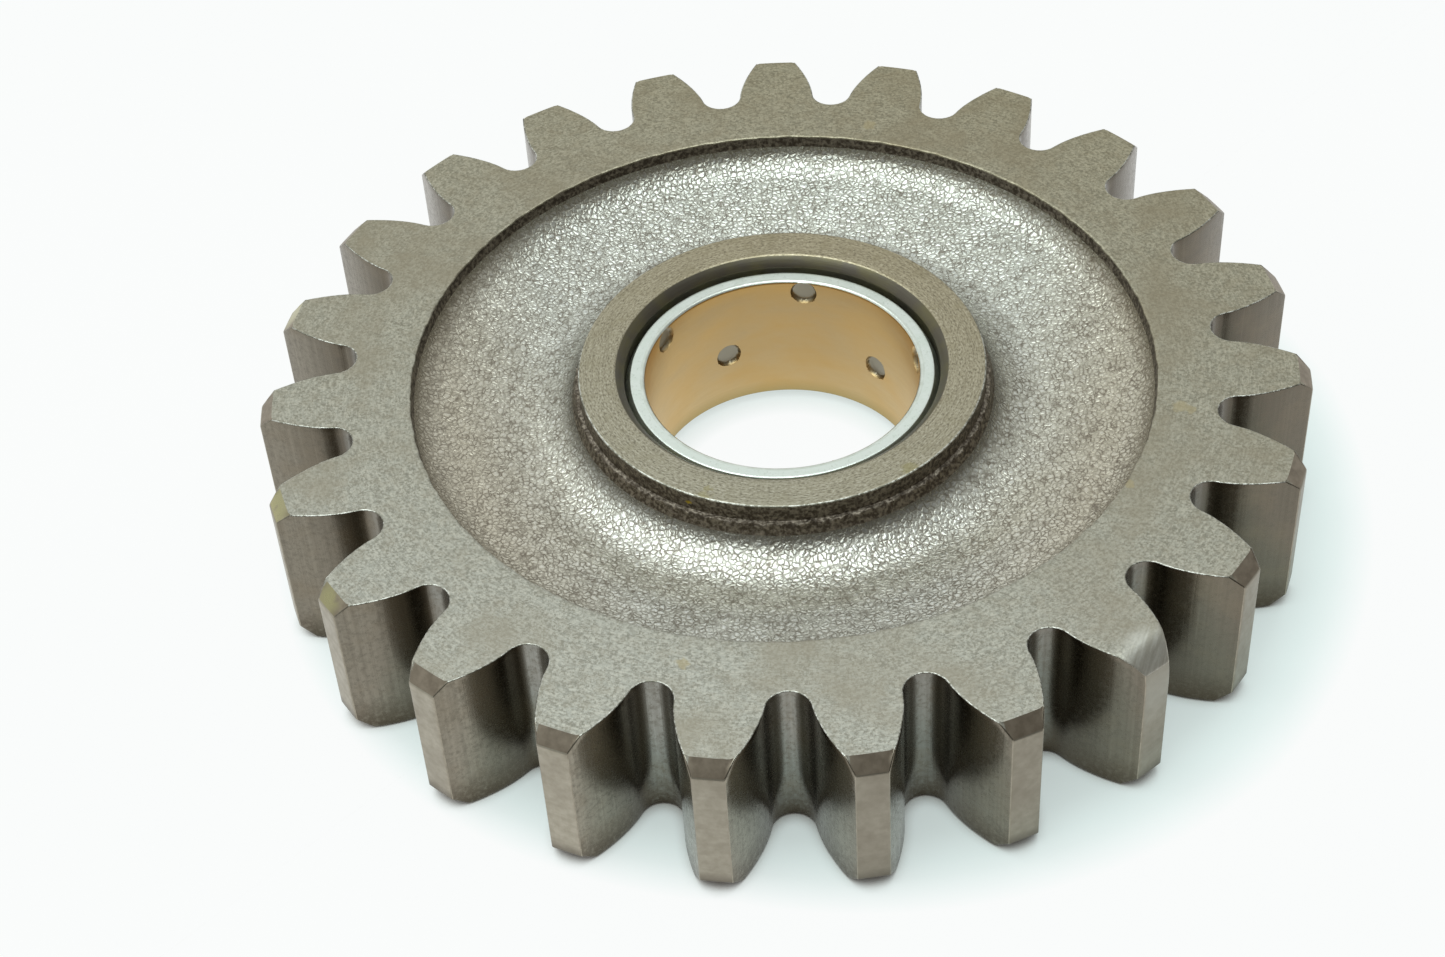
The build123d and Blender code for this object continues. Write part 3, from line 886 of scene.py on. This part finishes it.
# Each end of the lining, from its outside in to the bore, as radius and depth below the end
lining_end = np.array([
    (lining_radius, 3.0), (lining_radius, 0), (10.25, 0), (10.17, 0), (10.11, 0.03), (10.03, 0.11)])
upper_end = turned_surface(lining_end * [1, -1] + [0, bush_top], lining_columns)
lower_end = turned_surface(lining_end[::-1] + [0, bush_bottom], lining_columns)
lining_points = np.concatenate([upper_end, bore_surface, lower_end])
lining_rows = len(lining_points) // lining_columns + 1
lining_quads = grid_faces(lining_rows, lining_columns) % len(lining_points)
lining_finish = np.zeros((lining_rows - 1, lining_columns), np.int32)
lining_finish[:len(lining_end) - 1] = 1
lining_finish[len(lining_end) + lining_steps:] = 1

worn_bronze, tree, shader, place, surface = start_finish("worn_bronze", 0.38)
smears = grain(tree, stretched(tree, place, (0.5, 0.5, 1.2)), 0.5, 3.0)
fine_lines = grain(tree, stretched(tree, place, (0.6, 0.6, 6.0)), 1.0, 2.0)
pocket = add_node(tree, "ShaderNodeAttribute", attribute_name="pocket").outputs["Fac"]
skin = mixed(tree, ramp(tree, smears, 0.3, 0.7), colour(0.65, 0.44, 0.175), colour(0.71, 0.535, 0.275))
height = toward(tree, place, (0, 0, 1))
# Greyer and darker on the far side of the bore, more towards its top
far_wall_grey = ramp(tree, toward(tree, place, (0, 1, 0)), 3.0, 9.5)
far_wall_grey = sums(tree, "MULTIPLY", ramp(tree, height, -5.5, -1.0, 0.5, 1.0), far_wall_grey)
skin = mixed(tree, far_wall_grey, skin, colour(0.755, 0.75, 0.76), "MULTIPLY")
skin = mixed(tree, ramp(tree, height, 4.2, 5.4, 0.0, 0.5), skin, colour(0.60, 0.37, 0.11))
skin = mixed(tree, ramp(tree, height, -4.4, -5.6, 0.0, 0.6), skin, colour(0.36, 0.29, 0.12))
skin = mixed(tree, ramp(tree, fine_lines, 0.35, 0.7, 0.0, 0.2), skin, colour(0.52, 0.36, 0.16))
skin = mixed(tree, pocket, skin, colour(0.30, 0.28, 0.22))
tree.links.new(skin, shader.inputs["Base Color"])
tree.links.new(ramp(tree, smears, 0.3, 0.7, 0.34, 0.46), shader.inputs["Roughness"])
raised(tree, shader, fine_lines, 0.006)
cut_bronze, tree, shader, place, surface = start_finish("cut_bronze", 0.36)
wipes = grain(tree, place, 1.2, 3.0)
skin = mixed(tree, ramp(tree, wipes, 0.35, 0.7), colour(0.66, 0.70, 0.62), colour(0.80, 0.84, 0.77))
tree.links.new(skin, shader.inputs["Base Color"])
raised(tree, shader, grain(tree, place, 5.0), 0.01)
lining = make_piece("bronze_lining", lining_points, lining_quads.tolist(), lining_finish.ravel(),
                    [worn_bronze, cut_bronze])
tint_edge = 0.15
in_pocket = np.zeros(len(lining_points), np.float32)
in_pocket[len(upper_end):len(upper_end) + distance.size] = np.clip(
    (pocket_radius - distance.ravel()) / tint_edge, 0, 1)
tint = lining.data.attributes.new("pocket", "FLOAT", "POINT")
tint.data.foreach_set("value", in_pocket)
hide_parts("bush_lining")
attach(lining, "root")

# The stand: a pale matt sheet that the gear lies on, on the end of its hub. It is lifted by its own glow
# to near white far from the gear, less between the teeth and further out on the right, and not at all
# close under them, where the lamp's own shadow is left as it falls. Where the glow is held back it takes
# a painted cyan shadow tint, and close under the teeth the sheet is painted brown as contact shade.

sheet_mesh = bpy.data.meshes.new("pale_sheet")
reach = 4.0
sheet_height = -hub_face * 0.001
sheet_mesh.from_pydata(
    [(-reach, -reach, sheet_height), (reach, -reach, sheet_height), (reach, reach, sheet_height),
     (-reach, reach, sheet_height)], [], [(0, 1, 2, 3)])
pale_sheet = bpy.data.objects.new("pale_sheet", sheet_mesh)
bpy.context.scene.collection.objects.link(pale_sheet)
matt_white, tree, shader, place, surface = start_finish("matt_white", 0.9, 0.0)
shader.inputs["Specular IOR Level"].default_value = 0.1
tone = grain(tree, place, 0.02, 2.0)
sheet_white = mixed(tree, tone, colour(0.95, 0.965, 0.96), colour(0.97, 0.98, 0.975))
radius = from_axis(tree, place)
# Painted shadow: the glow is held back further out on the right, so the shadow reaches further there
painted_shadow_reach = ramp(tree, toward(tree, place, (1, -0.25, 0)), 6.0, 40.0, 0.0, 4.8)
past_teeth = sums(tree, "SUBTRACT", radius, painted_shadow_reach)
open_sheet = sums(tree, "MAXIMUM", ramp(tree, past_teeth, 35.0, 38.8), ramp(tree, radius, 12.0, 8.0))
# Painted shadow tint: the glow turns cyan where it is held back near the teeth
glow_with_shadow_tint = mixed(tree, open_sheet, colour(0.86, 0.955, 0.94), sheet_white)
shadow_reach = 0.0016
openness = add_node(
    tree, "ShaderNodeAmbientOcclusion", {"Distance": shadow_reach}, samples=8).outputs["AO"]
# Painted shade: close under the teeth the sheet turns brown and does not glow
contact_shade = sums(tree, "MULTIPLY", ramp(tree, openness, 0.70, 0.25), ramp(tree, radius, 12.0, 14.0))
matt = mixed(tree, 1.0, sheet_white, colour(0.88, 0.985, 0.945), "MULTIPLY")
matt = mixed(tree, contact_shade, matt, colour(0.62, 0.53, 0.46))
tree.links.new(matt, shader.inputs["Base Color"])
ray = add_node(tree, "ShaderNodeLightPath").outputs
seen = sums(tree, "MAXIMUM", ray["Is Camera Ray"], sums(
    tree, "MAXIMUM", ray["Is Glossy Ray"], ray["Is Transmission Ray"]))
paper = add_node(tree, "ShaderNodeEmission", {"Color": glow_with_shadow_tint, "Strength": 1.0})
share = sums(tree, "MAXIMUM", ramp(tree, past_teeth, 33.0, 36.0, 0.47, 0.62),
             ramp(tree, open_sheet, 0.0, 1.0, 0.47, 0.98))
share = sums(tree, "MULTIPLY", share, ramp(tree, contact_shade, 1.0, 0.0))
share = sums(tree, "MULTIPLY", seen, share)
lifted = add_node(tree, "ShaderNodeMixShader", {0: share, 1: shader.outputs[0], 2: paper.outputs[0]})
tree.links.new(lifted.outputs[0], tree.nodes["Material Output"].inputs["Surface"])
sheet_mesh.materials.append(matt_white)

# The light: one wide soft lamp overhead, and a room that is bright and a little blue at the
# back and dim and a little warm in front.

lamp_data = bpy.data.lights.new("soft_box", "AREA")
lamp_data.shape = "SQUARE"
lamp_data.size = 0.7
lamp_data.energy = 4.2
lamp_data.color = (0.92, 1.03, 1.05)
lamp = bpy.data.objects.new("soft_box", lamp_data)
lamp.location = (-0.12, -0.08, 0.74)
lamp.rotation_euler = (-0.11, -0.16, 0)
bpy.context.scene.collection.objects.link(lamp)
room = bpy.data.worlds.new("room")
bpy.context.scene.world = room
room.use_nodes = True
tree = room.node_tree
direction = add_node(tree, "ShaderNodeTexCoord").outputs["Generated"]
toward_back = toward(tree, direction, (-0.15, 0.27, 0))
glow = ramp(tree, toward_back, -0.31, 0.31, way="SMOOTHSTEP")
glow = mixed(tree, glow, colour(0.165, 0.161, 0.15), colour(0.785, 0.82, 0.815))
tree.links.new(glow, tree.nodes["Background"].inputs["Color"])
tree.nodes["Background"].inputs["Strength"].default_value = 1.0

# The camera: at the photograph's viewing angle, above the front of the gear. Yaw, pitch and
# roll are in degrees, from a level look along +Y.

yaw, pitch, roll = np.radians([-2.979, -44.448, -4.040])
look = np.array([np.sin(yaw) * np.cos(pitch), np.cos(yaw) * np.cos(pitch), np.sin(pitch)])
level = np.cross(look, [0, 0, 1])
level = level / np.linalg.norm(level)
upright = np.cross(level, look)
right_hand = level * np.cos(roll) + upright * np.sin(roll)
upright = upright * np.cos(roll) - level * np.sin(roll)
camera_data = bpy.data.cameras.new("camera")
camera_data.lens = 65.85
camera_data.sensor_width = 36.0
camera_data.clip_start = 0.01
camera_place = (0.002552, -0.14252, 0.134757)
camera = bpy.data.objects.new("camera", camera_data)
bpy.context.scene.collection.objects.link(camera)
placing = np.eye(4)
placing[:3, 0], placing[:3, 1], placing[:3, 2] = right_hand, upright, -look
placing[:3, 3] = camera_place
camera.matrix_world = placing.T.tolist()
bpy.context.scene.camera = camera
bpy.context.scene.view_settings.view_transform = "Standard"
